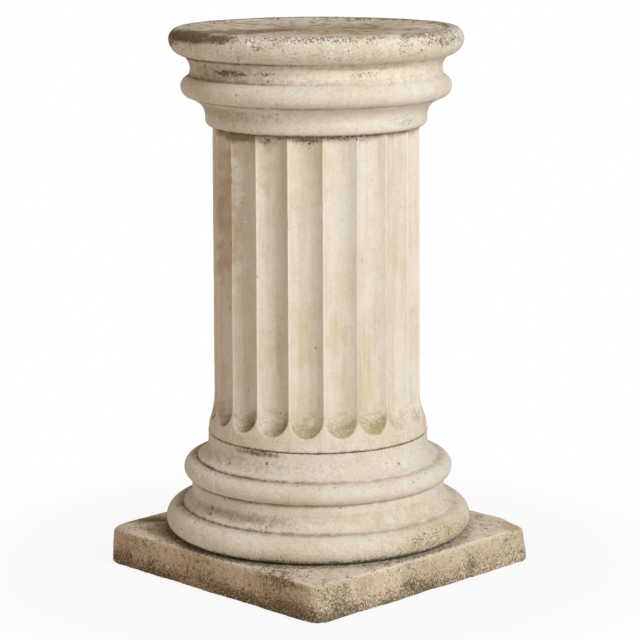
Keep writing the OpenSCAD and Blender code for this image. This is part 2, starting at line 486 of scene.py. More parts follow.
def capital_profile():
    """The half section of the capital, from its bed on the shaft to the recess in its top."""
    inner = CAPITAL_NECK.radius - CAPITAL_EDGE
    line = [(CAPITAL_FAN, CAPITAL_NECK.low), (inner, CAPITAL_NECK.low)]
    line += arc(inner, CAPITAL_NECK.low + CAPITAL_EDGE, CAPITAL_EDGE, -90, 0)
    line += cove_arc(CAPITAL_COVE.radius, CAPITAL_FILLET.radius, CAPITAL_COVE.low, CAPITAL_COVE.high)
    line += [(CAPITAL_FILLET.radius, CAPITAL_FILLET.high)]

    # The torus runs up to where the cavetto's arc starts
    down = math.degrees(math.asin((CAVETTO_LOWER.high - CAVETTO_LOWER.low) / CAVETTO_ARC))
    up = math.degrees(math.asin((CAVETTO_UPPER.high - CAVETTO_UPPER.low) / CAVETTO_ARC))
    cavetto_foot = CAVETTO_LOWER.radius + CAVETTO_ARC * (1 - math.cos(math.radians(down)))
    torus_radius = (CAPITAL_TORUS.high - CAPITAL_TORUS.low) / 2
    meeting = math.degrees(math.acos((cavetto_foot - CAPITAL_TORUS.radius + torus_radius) / torus_radius))
    line += torus_arc(CAPITAL_TORUS, end=meeting)
    line += arc(CAVETTO_LOWER.radius + CAVETTO_ARC, CAVETTO_LOWER.high, CAVETTO_ARC, 180 + down, 180 - up)

    # The rim's underside starts at the cavetto's tip
    under_radius = RIM_UNDER.high - RIM_UNDER.low
    edge_radius = RIM_EDGE.high - RIM_EDGE.low
    centre = RIM_UNDER.radius - under_radius
    tip = math.degrees(math.acos((line[-1][0] - centre) / under_radius))
    line += arc(centre, RIM_UNDER.high, under_radius, -tip, 0)
    line += arc(RIM_EDGE.radius - edge_radius, RIM_EDGE.low, edge_radius, 0, 90)
    floor = TOP - RECESS_DEPTH
    line += [(RECESS_RADIUS + 2.5, TOP), (RECESS_RADIUS - 1.5, floor), (RECESS_FAN, floor)]
    return line


def make_turned(profile, seed, pit_count, chips):
    """A worn round piece, kept just under the CAD's top. Returns its grid and masks."""
    rows = rows_of(worn(profile, MOULDING_WEAR), TURNED_ROWS)
    angles = np.linspace(0, 2 * math.pi, TURNED_COLUMNS, endpoint=False)
    grid = polar_grid(rows[:, :1], rows[:, 1:2], angles)
    hollow = np.repeat(rows[:, 2], TURNED_COLUMNS)
    points = grid.reshape(-1, 3)
    wanted = np.clip(0.4 + noise(points, 45.0, seed + 70, 2), 0.03, None)
    pits = scattered_pits(points, wanted, pit_count, sizes=(1.8, 3.0), seed=seed)
    grid, masks = weathered(grid, hollow, pits, chips, seed=seed, roughness=0.9)
    grid[..., 2] = np.minimum(grid[..., 2], TOP - 0.05)
    return grid, masks


# ------------ the fluted shaft


def arris_bearing(k):
    """Bearing of the k-th arris, counted from the one just right of the plinth's front corner."""
    return math.degrees(FIRST_ARRIS) + k * 360 / FLUTES


ARRIS_CHIPS = [
    (on_column(arris_bearing(-1), ARRIS_RADIUS, 478.0), 5.0, 2.4),
    (on_column(arris_bearing(-1) - 0.4, ARRIS_RADIUS, 468.0), 5.5, 2.6),
    (on_column(arris_bearing(-3), ARRIS_RADIUS, 530.0), 5.0, 2.0),
    (on_column(arris_bearing(-3), ARRIS_RADIUS, 517.0), 6.0, 2.4),
]


def shaft_outline(z):
    """Radius of the shaft over its arrises at each height."""
    start, flare_top, low_radius = FOOT_FLARE
    taper = low_radius + (SHAFT_TOP_RADIUS - low_radius) * (z - flare_top) / (SHAFT_TOP - flare_top)
    rise, out = flare_top - start, FOOT_BAND.radius - low_radius
    radius = (rise * rise + out * out) / (2 * out)
    drop = np.clip(flare_top - z, 0, rise)
    flare = low_radius + radius - np.sqrt(radius * radius - drop * drop)
    up_band = np.clip((z - FOOT_BAND.low) / (FOOT_BAND.high - FOOT_BAND.low), 0, 1)
    band = NECK_BAND.radius + (FOOT_BAND.radius - NECK_BAND.radius) * up_band
    return np.where(z > flare_top, taper, np.where(z > FOOT_BAND.high, flare, band))


def flute_surface(phi, z):
    """Distance from the axis to a flute's hollow, phi radians from its middle, at height z. Above the plain
    band the hollow opens like an arch, until its sides meet the next flutes in sharp arrises."""
    rise = np.clip((z - ARCH_START) / ARCH_RISE, 0.0, 1.0)
    half = math.pi / FLUTES * np.sqrt(np.maximum(1 - (1 - rise) ** 2, 1e-6))
    arris = shaft_outline(z)
    centre = arris * np.cos(half) + np.sqrt(FLUTE_RADIUS**2 - (arris * np.sin(half)) ** 2)
    aside = centre * np.sin(phi)
    surface = centre * np.cos(phi) - np.sqrt(FLUTE_RADIUS**2 - aside**2)
    inside = (np.abs(phi) < half) & (z > ARCH_START)
    return np.where(inside, surface, np.inf)


def with_beds(rows):
    """Rows with the first and the last repeated, for the flat bedding faces."""
    return np.concatenate([rows[:1], rows, rows[-1:]])


def make_shaft():
    """The worn shaft, with the same number of columns in each flute. Returns its grid and masks."""
    columns = COLUMNS_PER_FLUTE * FLUTES
    angles = FRONT_CORNER + FIRST_ARRIS + np.arange(columns) * 2 * math.pi / columns
    phi = (np.arange(columns) % COLUMNS_PER_FLUTE - COLUMNS_PER_FLUTE / 2) * 2 * math.pi / columns
    foot_top, head_start = 250.0, SHAFT_TOP - 12
    heights = np.concatenate([
        np.linspace(SHAFT_BASE + JOINT_GAP, foot_top, FOOT_ROWS, endpoint=False),
        np.linspace(foot_top, head_start, FLUTE_ROWS, endpoint=False),
        np.linspace(head_start, SHAFT_TOP, HEAD_ROWS),
    ])
    z = heights[:, None]
    outline = shaft_outline(z)
    cut = np.maximum(outline - flute_surface(phi[None, :], z), 0.0)
    grid = with_beds(polar_grid(outline - cut, z, angles))
    grid[[0, -1], :, :2] *= 0.9

    arris = np.exp(-((math.pi / FLUTES - np.abs(phi)) * ARRIS_RADIUS / ARRIS_WIDTH) ** 2)
    above_arches = smoothstep(ARCH_START + 18, ARCH_START + 38, heights)
    hollow = with_beds(-1.3 * (above_arches[:, None] * arris[None, :])).reshape(-1)

    points = grid.reshape(-1, 3)
    wanted = np.clip(0.3 + noise(points, 45.0, 170, 2), 0.03, None)
    pits = scattered_pits(points, wanted, count=24, sizes=(1.6, 2.4), seed=23)
    grid, masks = weathered(grid, hollow, pits, ARRIS_CHIPS, seed=100, roughness=0.75)
    masks["flute"] = np.clip(with_beds(cut).reshape(-1) / 9.0, 0, 1)
    return grid, masks


# ------------ the stone

PALE_LIME_AND_LIGHT = (0.83, 0.79, 0.72, 1)
RUST = (0.45, 0.33, 0.20, 1)
DIRT_AND_SHADE = (0.235, 0.165, 0.09, 1)
ALGAE = (0.38, 0.345, 0.17, 1)
CRUST_AND_SHADE = (0.075, 0.056, 0.030, 1)
CRUST_AND_SHADE_PALER = (0.20, 0.155, 0.085, 1)
GROOVE = (0.15, 0.092, 0.042, 1)
FINE_GRAIN = (0.40, 0.30, 0.19, 1)
FINEST_GRAIN = (0.30, 0.23, 0.15, 1)
GRIT_DARK = (0.50, 0.42, 0.32, 1)
GRIT_LIGHT = (1.12, 1.13, 1.12, 1)
PALE_GRAIN = (0.70, 0.62, 0.47, 1)
VEIL = (0.55, 0.52, 0.34, 1)
PORE = (0.13, 0.095, 0.06, 1)

Textures = namedtuple("Textures", "mottle fine grain streaks")


class Nodes:
    """A small helper that adds shader nodes and joins them."""

    def __init__(self, owner):
        self.tree = owner.node_tree
        self.tree.nodes.clear()

    def add(self, kind, **settings):
        node = self.tree.nodes.new(kind)
        for key, value in settings.items():
            setattr(node, key, value)
        return node

    def join(self, source, target):
        self.tree.links.new(source, target)

    def put(self, value, target):
        if isinstance(value, bpy.types.NodeSocket):
            self.join(value, target)
        else:
            target.default_value = value

    def math(self, operation, a, b):
        node = self.add("ShaderNodeMath", operation=operation)
        self.put(a, node.inputs[0])
        self.put(b, node.inputs[1])
        return node.outputs[0]

    def plus(self, total, *others):
        for other in others:
            total = self.math("ADD", total, other)
        return total

    def minus(self, a, b):
        return self.math("SUBTRACT", a, b)

    def times(self, a, b):
        return self.math("MULTIPLY", a, b)

    def ramp(self, value, low, high):
        node = self.add("ShaderNodeMapRange", interpolation_type="SMOOTHSTEP")
        self.put(value, node.inputs["Value"])
        node.inputs["From Min"].default_value = low
        node.inputs["From Max"].default_value = high
        return node.outputs["Result"]

    def noise(self, where, scale, detail, roughness, distortion=0.0):
        node = self.add("ShaderNodeTexNoise")
        self.join(where, node.inputs["Vector"])
        node.inputs["Scale"].default_value = scale
        node.inputs["Detail"].default_value = detail
        node.inputs["Roughness"].default_value = roughness
        node.inputs["Distortion"].default_value = distortion
        return node.outputs["Fac"]

    def mapped(self, where, setting, value):
        node = self.add("ShaderNodeMapping")
        self.join(where, node.inputs["Vector"])
        node.inputs[setting].default_value = value
        return node.outputs["Vector"]

    def mask(self, name):
        return self.add("ShaderNodeAttribute", attribute_name=name).outputs["Fac"]

    def over(self, colour, factor, layer, blend="MIX"):
        node = self.add("ShaderNodeMix", data_type="RGBA", blend_type=blend)
        self.put(factor, node.inputs["Factor"])
        self.put(colour, node.inputs[6])
        self.put(layer, node.inputs[7])
        return node.outputs[2]

    def wash(self, colour, where, strength, layer):
        """The colour with a layer over it, at most as strong as `strength`."""
        return self.over(colour, self.times(where, strength), layer)


def shade(colour, share):
    return (*[c * share for c in colour], 1)


def clean_stone(n, at, textures, light, warm, grit, streaking):
    """The stone's own colour: clouds of a light and a warm tone, with streaks and grains."""
    clouds = n.noise(at, 13.0, 5.0, 0.62)
    bloom = n.noise(at, 34.0, 4.0, 0.6, 0.4)
    colour = n.over(shade(light, 1), n.ramp(clouds, 0.40, 0.66), shade(warm, 1))
    colour = n.wash(colour, n.ramp(bloom, 0.5, 0.68), 0.35, shade(light, 1.06))
    colour = n.wash(colour, n.ramp(textures.mottle, 0.5, 0.72), 0.30, shade(warm, 0.84))
    colour = n.wash(colour, n.ramp(textures.streaks, 0.48, 0.70), streaking, shade(warm, 0.86))
    colour = n.wash(colour, n.ramp(textures.fine, 0.50, 0.72), 0.24 * grit, FINE_GRAIN)
    colour = n.wash(colour, n.ramp(textures.grain, 0.40, 0.66), 0.16 * grit, FINEST_GRAIN)

    # Coarse grit: dark grains among bright ones
    grains = n.over(GRIT_DARK, n.ramp(n.noise(at, 400.0, 3.0, 0.8), 0.36, 0.54), GRIT_LIGHT)
    return n.over(colour, n.mask("grit"), grains, "MULTIPLY")


def stained(n, at, textures, colour):
    """The colour with every stain and the painted shade and light over it. Also returns where the crust and
    its painted shade are, which stand proud.
    """
    # Pale lime on edges, chips and patches, and painted highlight and light where the mask holds them
    lime_and_painted_light = n.plus(n.mask("lime_and_painted_light"), n.mask("chip"), n.times(textures.mottle, 0.5))
    colour = n.wash(colour, n.ramp(lime_and_painted_light, 0.55, 0.95), 0.7, PALE_LIME_AND_LIGHT)

    # Rust-brown water stain
    rust = n.plus(n.mask("rust"), n.times(n.noise(at, 60.0, 4.0, 0.6), 0.8))
    colour = n.wash(colour, n.ramp(rust, 0.55, 1.2), 0.8, RUST)

    # Brown dirt, thickest in creases and pits, with painted shade and shadow where the mask holds them
    brown_dirt_and_shade = n.plus(n.times(n.mask("crevice"), 0.8), n.mask("dirt_and_shade"), n.times(n.mask("pit"), 0.7))
    brown_dirt_and_shade = n.plus(brown_dirt_and_shade, n.times(n.noise(at, 150.0, 5.0, 0.75), 1.2))
    colour = n.wash(colour, n.ramp(brown_dirt_and_shade, 0.72, 1.5), 0.85, DIRT_AND_SHADE)

    # A thin yellow-green veil in upright streaks
    veil = n.times(n.mask("veil"), n.ramp(textures.streaks, 0.28, 0.60))
    colour = n.wash(colour, veil, 0.75, VEIL)

    # Yellow-green algae, in specks at its edges
    algae = n.plus(n.times(n.mask("algae"), 0.55), n.times(n.noise(at, 330.0, 4.0, 0.75), 1.5))
    algae = n.ramp(n.plus(algae, n.times(textures.streaks, 0.25)), 1.05, 1.45)
    algae = n.times(algae, n.ramp(n.mask("algae"), 0.02, 0.3))
    colour = n.wash(colour, algae, 0.85, ALGAE)

    # Dark grey-green crust of lichen and soot, which thins out into specks. In the shaft's scoops the same
    # mask also paints shade.
    crust_and_shade = n.plus(n.times(n.mask("crust_and_shade"), 0.44), n.times(n.noise(at, 340.0, 3.0, 0.75), 1.6))
    crust_and_shade = n.plus(crust_and_shade, n.times(textures.mottle, 0.3))
    crust_and_shade = n.times(n.ramp(crust_and_shade, 1.18, 1.32), n.ramp(n.mask("crust_and_shade"), 0.02, 0.14))
    crust_and_shade_colour = n.over(CRUST_AND_SHADE, n.ramp(n.noise(at, 420.0, 2.0, 0.6), 0.45, 0.7), CRUST_AND_SHADE_PALER)
    colour = n.wash(colour, crust_and_shade, 0.82, crust_and_shade_colour)

    # Pale grains that show through the crust
    clean = n.times(n.ramp(n.noise(at, 360.0, 3.0, 0.8), 0.53, 0.62), n.mask("grit"))
    colour = n.wash(colour, clean, 0.75, PALE_GRAIN)

    # Thin dirt lines in the creases between the mouldings
    groove = n.times(n.mask("groove"), n.ramp(n.noise(at, 210.0, 3.0, 0.65), 0.30, 0.56))
    return n.wash(colour, groove, 0.9, GROOVE), crust_and_shade


def open_pores(n, at, textures):
    """Where small round pores are open, most of all where the porous mask is high."""
    pores = n.add("ShaderNodeTexVoronoi", feature="F1")
    n.join(at, pores.inputs["Vector"])
    pores.inputs["Scale"].default_value = 300.0
    size = n.plus(n.times(n.mask("porous"), 0.30), n.times(textures.mottle, 0.7))
    return n.ramp(n.minus(n.minus(size, 0.36), pores.outputs["Distance"]), -0.08, 0.04)


def stone(name, light, warm, seed, grit=1.0, streaking=0.25):
    """Weathered cast stone. The masks on the mesh say where each stain, painted shade and painted light may
    lie, and the noise breaks it up.
    `grit` is how strongly the dark grains show, and `streaking` the upright streaks."""
    material = bpy.data.materials.new(name)
    material.use_nodes = True
    n = Nodes(material)
    place = n.add("ShaderNodeTexCoord").outputs["Object"]
    at = n.mapped(place, "Location", (seed, seed * 0.7, seed * 1.3))
    textures = Textures(
        mottle=n.noise(at, 70.0, 4.0, 0.62),
        fine=n.noise(at, 230.0, 3.0, 0.6),
        grain=n.noise(at, 640.0, 2.0, 0.6),
        streaks=n.noise(n.mapped(at, "Scale", (1.0, 1.0, 0.08)), 95.0, 4.0, 0.6),
    )
    colour = clean_stone(n, at, textures, light, warm, grit, streaking)
    colour, crust_and_shade = stained(n, at, textures, colour)
    pores = open_pores(n, at, textures)
    colour = n.wash(colour, pores, 0.75, PORE)

    height = n.plus(n.times(textures.grain, 0.30), n.times(textures.fine, 0.7))
    height = n.plus(height, n.times(textures.mottle, 0.9))
    height = n.plus(n.minus(height, n.times(pores, 1.2)), n.times(crust_and_shade, 0.35))
    bump = n.add("ShaderNodeBump")
    bump.inputs["Strength"].default_value = 0.6
    bump.inputs["Distance"].default_value = 0.0011
    n.join(height, bump.inputs["Height"])

    shader = n.add("ShaderNodeBsdfPrincipled")
    n.join(colour, shader.inputs["Base Color"])
    n.join(bump.outputs["Normal"], shader.inputs["Normal"])
    n.join(n.plus(0.78, n.times(textures.grain, 0.2)), shader.inputs["Roughness"])
    shader.inputs["Specular IOR Level"].default_value = 0.25
    output = n.add("ShaderNodeOutputMaterial")
    n.join(shader.outputs["BSDF"], output.inputs["Surface"])
    return material


# ------------ stains, painted shade and painted light on each piece


def patches(points, spots, seed, ragged=0.35):
    """A mask from 0 to 1 of soft ragged patches, at (bearing, height, half width in degrees, half height,
    strength)."""
    turn = bearing(points)
    wobble = noise(points, 14.0, seed, 3)
    mask = np.zeros(len(points))
    for at, height, wide, tall, strength in spots:
        across = (turn - at + 180) % 360 - 180
        far = np.sqrt((across / wide) ** 2 + ((points[:, 2] - height) / tall) ** 2)
        mask = np.maximum(mask, strength * smoothstep(1.25, 0.35, far + ragged * wobble))
    return mask


def plan_patches(points, spots, seed, ragged=0.3):
    """A mask like `patches`, seen from above, at (mm to the right, mm towards the front corner, half width,
    half depth, strength)."""
    forward = np.array([math.cos(FRONT_CORNER), math.sin(FRONT_CORNER)])
    right = np.array([-forward[1], forward[0]])
    across, ahead = points[:, :2] @ right, points[:, :2] @ forward
    wobble = noise(points, 24.0, seed, 3)
    mask = np.zeros(len(points))
    for x, y, wide, deep, strength in spots:
        far = np.hypot((across - x) / wide, (ahead - y) / deep)
        mask = np.maximum(mask, strength * smoothstep(1.25, 0.5, far + ragged * wobble))
    return mask


def leftness(points):
    """1 on the side left of the front corner, falling to 0 on the right and on the far side."""
    turn = bearing(points)
    return smoothstep(25, -45, turn) * smoothstep(-170, -110, turn)


def distance_from_axis(points):
    return np.hypot(points[:, 0], points[:, 1])


def near_height(points, height, reach):
    """1 at a height, fading out over `reach` above and below it."""
    return np.exp(-(((points[:, 2] - height) / reach) ** 2))


def groove_line(points, height, width, strength, seed):
    """A thin line of dirt along a crease, broken by noise. `strength` may differ from point to point."""
    broken = noise(points, 12.0, seed, 3)
    return near_height(points, height + 0.4 * broken, width) * np.clip(strength + 0.8 * broken, 0, 1)


def plinth_stains(points, masks):
    turn = bearing(points)
    z = points[:, 2]
    on_side = smoothstep(PLINTH_TOP + 0.5, PLINTH_TOP - 4, z)
    on_top = smoothstep(PLINTH_TOP - 2.5, PLINTH_TOP - 1, z)
    left_face = smoothstep(2, -4, turn) * smoothstep(-92, -86, turn)
    right_face = smoothstep(2, 20, turn)
    low = smoothstep(34, 2, z)
    cloud = noise(points, 38.0, 406, 2)

    masks["groove"] = np.zeros(len(points))
    masks["porous"] = 0.1 + on_side * (0.30 + 0.55 * low + 0.3 * cloud)
    masks["grit"] = 0.45 * on_top + on_side * (0.65 + 0.35 * low)
    masks["rust"] = 0.10 + 0.35 * left_face * on_side
    masks["veil"] = 0.5 * on_side * right_face * smoothstep(-0.3, 0.3, cloud)
    masks["lime_and_painted_light"] = 0.3 * smoothstep(5, 20, turn) * smoothstep(30, 46, z) + 0.15 * masks["edge"]
    masks["lime_and_painted_light"] += 0.55 * on_top

    # Algae and lichen: by the front corner, along the right face, and on the top's left corner
    masks["algae"] = np.maximum(
        patches(points, [(3, 36, 5, 18, 0.7), (62, 34, 34, 18, 0.45)], 401),
        plan_patches(points, [(-225, -30, 46, 16, 1.4)], 403) * on_top,
    )
    lichen = plan_patches(points, [(-212, -28, 36, 14, 1.1)], 405)

    # Dirt on the faces. On the top: dirt, darker in a band round the torus, with painted shade in a patch
    # on the left and a dark patch on the right
    reach = distance_from_axis(points)
    face_dirt = 0.10 + 0.30 * left_face * (0.5 + cloud) + low * (0.20 + 0.25 * left_face + 0.4 * cloud)
    by_torus = smoothstep(214, 200, reach + 6 * noise(points, 20.0, 404, 2))
    painted_shade_and_dirt = plan_patches(points, [(-170, 10, 60, 90, 0.7), (195, -20, 50, 60, 0.35)], 408)
    masks["dirt_and_shade"] = np.maximum(on_side * face_dirt, on_top * np.maximum(0.12 + 0.3 * by_torus, painted_shade_and_dirt))

    # Crust: thick along the foot, in patches by the front corner, and in a ring round the torus
    crust_and_shade = on_side * (0.18 + 0.35 * cloud + low * (0.60 + 0.5 * cloud))
    crust_and_shade += on_top * (0.25 + 0.6 * noise(points, 10.0, 452, 2))
    crust_and_shade += patches(points, [(-12, 44, 10, 7, 0.6), (-22, 38, 14, 10, 0.35), (4, 34, 6, 16, 0.35)], 402)
    crust_and_shade += patches(points, [(66, 26, 5, 18, 0.3), (38, 20, 7, 14, 0.25)], 407)
    ring = smoothstep(204, 198, reach + 6 * noise(points, 9.0, 409, 3)) * (0.55 + 0.35 * leftness(points))
    masks["crust_and_shade"] = np.maximum(crust_and_shade, on_top * np.maximum(ring, lichen))


def base_stains(points, masks):
    z = points[:, 2]
    left = leftness(points)
    masks["crevice"] *= 0.45 + 0.5 * left
    masks["porous"] = 0.12 + patches(points, [(48, 68, 30, 20, 0.3)], 410)
    masks["grit"] = 0.12 + 0.15 * smoothstep(100, 60, z) + patches(points, [(50, 68, 30, 22, 0.25)], 451)
    masks["algae"] = patches(points, [(50, 66, 30, 18, 0.6), (-36, 98, 22, 7, 0.18)], 412)
    masks["dirt_and_shade"] = 0.04 * left + patches(points, [(-34, 99, 24, 9, 0.25), (-32, 176, 17, 5, 0.65)], 411)
    bright_patches = [(15, 160, 70, 18, 0.35), (5, 93, 20, 8, 0.5), (0, 72, 30, 14, 0.3)]
    masks["lime_and_painted_light"] = patches(points, bright_patches, 414)
    green = [(42, 97, 34, 12, 0.8), (50, 66, 34, 22, 0.7), (-10, 58, 30, 8, 0.4)]
    masks["veil"] = patches(points, green, 417)
    brown = [(5, 86, 60, 2.2, 0.5), (25, 105, 60, 3, 0.35), (5, 118, 60, 3, 0.4), (0, 147, 70, 2.5, 0.35)]
    masks["rust"] = patches(points, brown, 413)

    creases = [
        (SHAFT_BASE - 0.4, 1.3, 0.75),
        (NECK_FILLET.low + 1.0, 1.6, 0.2 + 0.6 * left),
        (CREASE_HEIGHT, 1.4, 0.3 * left),
        (SCOTIA_FILLET.low + 0.8, 1.6, 0.15 + 0.6 * left),
    ]
    masks["groove"] = sum(groove_line(points, *crease, 440 + k) for k, crease in enumerate(creases))

    # Crust: below the shaft's joint, round the foot, right on the lower torus, and left in the creases
    crust_and_shade = patches(points, [(-30, 177, 16, 5, 0.6)], 454)
    crust_and_shade += smoothstep(PLINTH_TOP + 11, PLINTH_TOP + 2, z + 3 * noise(points, 10.0, 416, 2))
    crust_and_shade += patches(points, [(54, 68, 24, 18, 0.36), (30, 58, 20, 8, 0.35)], 415)
    crust_and_shade += 0.45 * left * near_height(points, SCOTIA_FILLET.low + 1.5, 2.4)
    crust_and_shade += 0.4 * left * near_height(points, NECK_FILLET.low + 1.0, 3.0)
    masks["crust_and_shade"] = crust_and_shade


def shaft_stains(points, masks):
    turn = bearing(points)
    z = points[:, 2]
    left = leftness(points)
    in_flute = smoothstep(0.02, 0.2, masks["flute"])
    across = (turn - arris_bearing(0)) % (360 / FLUTES) / (360 / FLUTES)
    scoop = smoothstep(240, 200, z + 10 * noise(points, 12.0, 425, 2)) * in_flute

    masks["porous"] = np.zeros(len(points))
    masks["grit"] = 0.03 + 0.25 * smoothstep(202, 192, z) + 0.3 * scoop
    # The pale band at 190, just under the scoops, is a painted highlight along the scoops' lower rim
    masks["lime_and_painted_light"] = 0.75 * masks["edge"] + 0.4 * near_height(points, 190, 6) * (1 - in_flute)
    masks["groove"] = groove_line(points, SHAFT_BASE + 0.4, 1.2, 0.75, 444)
    masks["groove"] += groove_line(points, SHAFT_TOP - 1.0, 2.0, 0.8, 445)
    brown = [(-62, 470, 18, 130, 0.6), (-30, 540, 5, 60, 0.4), (-22, 300, 4, 90, 0.35)]
    brown += [(17, 318, 6, 26, 0.3), (40, 500, 8, 70, 0.15)]
    masks["rust"] = patches(points, brown, 424)

    # The scoops are brown on the left, yellow-green in the middle and nearly clean on the right
    scoop = scoop * (1 - 0.45 * smoothstep(38, 55, turn) * smoothstep(110, 90, turn))
    green_side = smoothstep(-45, -5, turn) * smoothstep(62, 34, turn)
    far_side = smoothstep(0.25, 0.8, across)
    masks["algae"] = scoop * (0.25 + 0.55 * green_side) + patches(points, [(-6, 564, 12, 12, 0.35)], 426)
    # Painted shadow under the capital's overhang: darkest on the left, fainter at the front and the right
    under_capital = [(-53, 576, 22, 13, 0.85), (-5, 575, 30, 6, 0.5), (45, 576, 30, 5, 0.35)]
    masks["dirt_and_shade"] = patches(points, under_capital, 421)
    # Dirt in the scoops, with painted shade on the right-hand side of each scoop, stronger on the left of
    # the column; the left side is also a little darker all over
    masks["dirt_and_shade"] += scoop * (0.36 + (0.35 + 0.3 * left) * far_side) + 0.10 * left

    specks = [(-30, 570, 4, 5, 0.8), (-22, 574, 6, 3, 0.5), (-2, 572, 10, 7, 0.6), (16, 574, 12, 4, 0.6)]
    specks += [(30, 572, 5, 6, 0.5), (-33, 189, 0.7, 10, 0.6)]
    by_arrises = [(arris_bearing(-3) + 4, 490, 5, 60, 0.16), (arris_bearing(-1), 470, 1.5, 16, 0.4)]
    masks["crust_and_shade"] = patches(points, specks, 422) + patches(points, by_arrises, 427)
    # Painted shade on the right-hand side of each scoop, stronger on the left of the column
    masks["crust_and_shade"] += (0.25 + 0.35 * left) * scoop * smoothstep(0.4, 0.85, across)

    # Green water streaks down the middle flutes, and on the sides that face away
    green = [(-8, 312, 6, 48, 0.8), (10, 332, 7, 32, 0.8), (15, 250, 6, 44, 0.5), (27, 265, 7, 78, 1.0)]
    green += [(-6, 230, 9, 40, 0.5), (-3, 556, 14, 22, 0.5), (-24, 240, 9, 50, 0.35)]
    green += [(110, 300, 26, 90, 0.6), (160, 260, 20, 70, 0.6), (-140, 280, 30, 80, 0.6)]
    masks["veil"] = patches(points, green, 423) * (0.35 + 0.65 * in_flute)


def capital_stains(points, masks):
    z = points[:, 2]
    left = leftness(points)
    reach = distance_from_axis(points)
    on_top = smoothstep(TOP - 4.5, TOP - 3.4, z) * smoothstep(RECESS_RADIUS + 7, RECESS_RADIUS + 1, reach)
    upper = smoothstep(664, 676, z)
    masks["crevice"] *= 0.4 + 0.6 * left
    masks["porous"] = 0.15 + patches(points, [(25, 686, 26, 16, 0.4), (30, 655, 20, 10, 0.35)], 430)
    masks["grit"] = 0.10 + 0.15 * smoothstep(640, 650, z) + 0.12 * upper + 0.2 * on_top
    masks["algae"] = 0.3 * plan_patches(points, [(-110, -40, 60, 60, 0.8)], 434) * on_top
    masks["veil"] = patches(points, [(15, 682, 50, 16, 0.55), (30, 652, 30, 8, 0.4)], 437) * (1 - on_top)
    pool = [(32, 16, 120, 92, 0.65), (95, -60, 55, 34, 0.5)]
    masks["rust"] = plan_patches(points, pool, 433, 0.6) * on_top
    masks["rust"] += patches(points, [(18, 664, 42, 4.5, 0.5), (-20, 612, 40, 2.5, 0.4)], 438)
    brown = [(-55, 603, 26, 16, 0.12), (-50, 654, 26, 9, 0.12), (50, 592, 16, 8, 0.15)]
    masks["dirt_and_shade"] = 0.05 * left + patches(points, brown, 432)
    masks["dirt_and_shade"] += patches(points, [(-60, 697, 30, 9, 0.8)], 455)

    clean_top = [(125, -30, 45, 80, 0.9), (-95, 10, 50, 100, 1.0), (0, -115, 120, 50, 0.9)]
    bright_patches = [(-24, 699, 5, 4, 1.0), (20, 630, 70, 10, 0.35), (5, 700, 25, 3, 0.6)]
    # The patch at 655 on the cavetto's front is painted light that lifts the cavetto's shade
    bright_patches += [(10, 600, 80, 14, 0.5), (10, 655, 70, 9, 0.7)]
    masks["lime_and_painted_light"] = plan_patches(points, clean_top, 435) * on_top + patches(points, bright_patches, 436)

    lip = np.exp(-(((reach - RECESS_RADIUS - 2) / 2.2) ** 2)) * smoothstep(TOP - 4, TOP - 3, z)
    creases = [
        (RIM_UNDER.low, 1.5, 0.25 + 0.7 * left),
        (CAVETTO_LOWER.low + 0.8, 1.3, 0.25 * left),
        (CAPITAL_FILLET.high, 1.4, 0.3 + 0.3 * left),
        (SHAFT_TOP + 0.6, 1.4, 0.8),
    ]
    masks["groove"] = lip * np.clip(0.65 + 0.8 * noise(points, 14.0, 446, 3), 0, 1)
    masks["groove"] += sum(groove_line(points, *crease, 447 + k) for k, crease in enumerate(creases))

    # Crust: on the rim, in the cavetto and on the neck, thinly over the recess, and left in the creases
    spots = [(-58, 698, 30, 8, 1.25), (0, 700, 30, 5, 0.45), (52, 701, 26, 5.5, 0.55)]
    spots += [(-78, 692, 16, 12, 0.9), (-20, 690, 6, 6, 0.4), (60, 692, 24, 7, 0.5)]
    spots += [(-42, 655, 12, 5, 0.95), (-22, 656, 7, 2.5, 0.7), (20, 655, 8, 6, 0.4)]
    spots += [(55, 590, 12, 5, 0.45), (180, 702.5, 100, 5, 1.0)]
    crust_and_shade = (patches(points, spots, 431) + 0.16 * upper) * (1 - on_top)
    crust_and_shade += on_top * (0.30 + 1.0 * noise(points, 9.0, 453, 2))
    crust_and_shade += 0.6 * left * near_height(points, RIM_UNDER.low, 3.0)
    crust_and_shade += 0.35 * left * near_height(points, CAVETTO_LOWER.low, 2.0)
    masks["crust_and_shade"] = crust_and_shade


# ------------ build

MOULDING_LIGHT = (0.745, 0.735, 0.69)
MOULDING_WARM = (0.695, 0.65, 0.56)
SHAFT_LIGHT = (0.725, 0.712, 0.65)
SHAFT_WARM = (0.68, 0.63, 0.525)
PLINTH_LIGHT = (0.68, 0.62, 0.51)
PLINTH_WARM = (0.55, 0.455, 0.36)


def finish_piece(name, made, stains, material, node):
    """Stains a made piece, turns it into a mesh and puts it in the place of its CAD node."""
    grid, masks = made
    points = grid.reshape(-1, 3)
    stains(points, masks)
    piece = closed_mesh(name, grid, masks)
    piece.data.materials.append(material)
    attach(piece, "root")
    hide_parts(node)


base_stone = stone("base_stone_worn", MOULDING_LIGHT, MOULDING_WARM, 1.0)
plinth_stone = stone("plinth_stone_pitted", PLINTH_LIGHT, PLINTH_WARM, 4.0, grit=1.8)
shaft_stone = stone("shaft_stone_worn", SHAFT_LIGHT, SHAFT_WARM, 2.0, grit=0.55, streaking=0.5)
capital_stone = stone("capital_stone_worn", MOULDING_LIGHT, MOULDING_WARM, 3.0)

